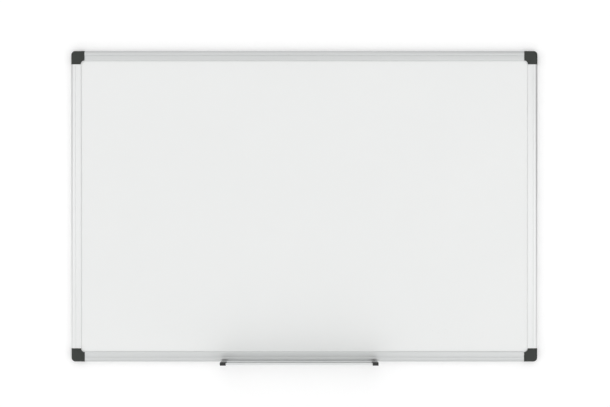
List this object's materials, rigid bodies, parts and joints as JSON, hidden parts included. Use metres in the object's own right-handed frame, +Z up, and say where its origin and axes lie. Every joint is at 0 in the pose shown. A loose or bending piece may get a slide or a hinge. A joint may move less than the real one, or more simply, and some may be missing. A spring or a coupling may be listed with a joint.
{
  "type": "magnetic whiteboard",
  "caption": "Wall-hung magnetic whiteboard: a white steel sheet in a satin aluminium frame, with snap-off dark corner covers and a pen tray that slides along the bottom rail.",
  "frame": {"origin": "the middle of the four wall screws, in the wall's plane, behind the centre of the board", "axes": "+X to the right seen from the front, +Z up; the writing surface faces -Y and the wall is at Y = 0"},
  "size_m": [0.9, 0.0692, 0.6027],
  "materials": {
    "lacquered_steel": "gloss",
    "fibreboard": "matte",
    "backing_metal": "satin",
    "satin_aluminium": "satin",
    "dark_plastic": "satin",
    "black_plastic": "satin",
    "zinc_steel": "satin"
  },
  "bodies": {
    "frame": {"writing_sheet": "lacquered_steel", "core_panel": "fibreboard", "backing_sheet": "backing_metal", "top_rail": "satin_aluminium", "bottom_rail": "satin_aluminium", "left_rail": "satin_aluminium", "right_rail": "satin_aluminium", "corner_bracket_top_left": "dark_plastic", "corner_bracket_top_right": "dark_plastic", "corner_bracket_bottom_left": "dark_plastic", "corner_bracket_bottom_right": "dark_plastic", "frame_screw_bottom_rail_left": "zinc_steel", "frame_screw_bottom_rail_right": "zinc_steel", "frame_screw_left_rail_top": "zinc_steel", "frame_screw_left_rail_bottom": "zinc_steel", "frame_screw_top_rail_left": "zinc_steel", "frame_screw_top_rail_right": "zinc_steel", "frame_screw_right_rail_top": "zinc_steel", "frame_screw_right_rail_bottom": "zinc_steel"},
    "tray": {"pen_tray": "satin_aluminium", "tray_cap_left": "black_plastic", "tray_cap_right": "black_plastic"},
    "cover_top_left": {"corner_cover_top_left": "dark_plastic"},
    "cover_top_right": {"corner_cover_top_right": "dark_plastic"},
    "cover_bottom_left": {"corner_cover_bottom_left": "dark_plastic"},
    "cover_bottom_right": {"corner_cover_bottom_right": "dark_plastic"}
  },
  "joints": [
    {"name": "tray_slide", "type": "slide", "parent": "frame", "child": "tray", "axis": [1, 0, 0], "range_m": [-0.2626, 0.2824]},
    {"name": "cover_top_left_pull", "type": "slide", "parent": "frame", "child": "cover_top_left", "axis": [0, -1, 0], "range_m": [0, 0.03]},
    {"name": "cover_top_right_pull", "type": "slide", "parent": "frame", "child": "cover_top_right", "axis": [0, -1, 0], "range_m": [0, 0.03]},
    {"name": "cover_bottom_left_pull", "type": "slide", "parent": "frame", "child": "cover_bottom_left", "axis": [0, -1, 0], "range_m": [0, 0.03]},
    {"name": "cover_bottom_right_pull", "type": "slide", "parent": "frame", "child": "cover_bottom_right", "axis": [0, -1, 0], "range_m": [0, 0.03]}
  ]
}
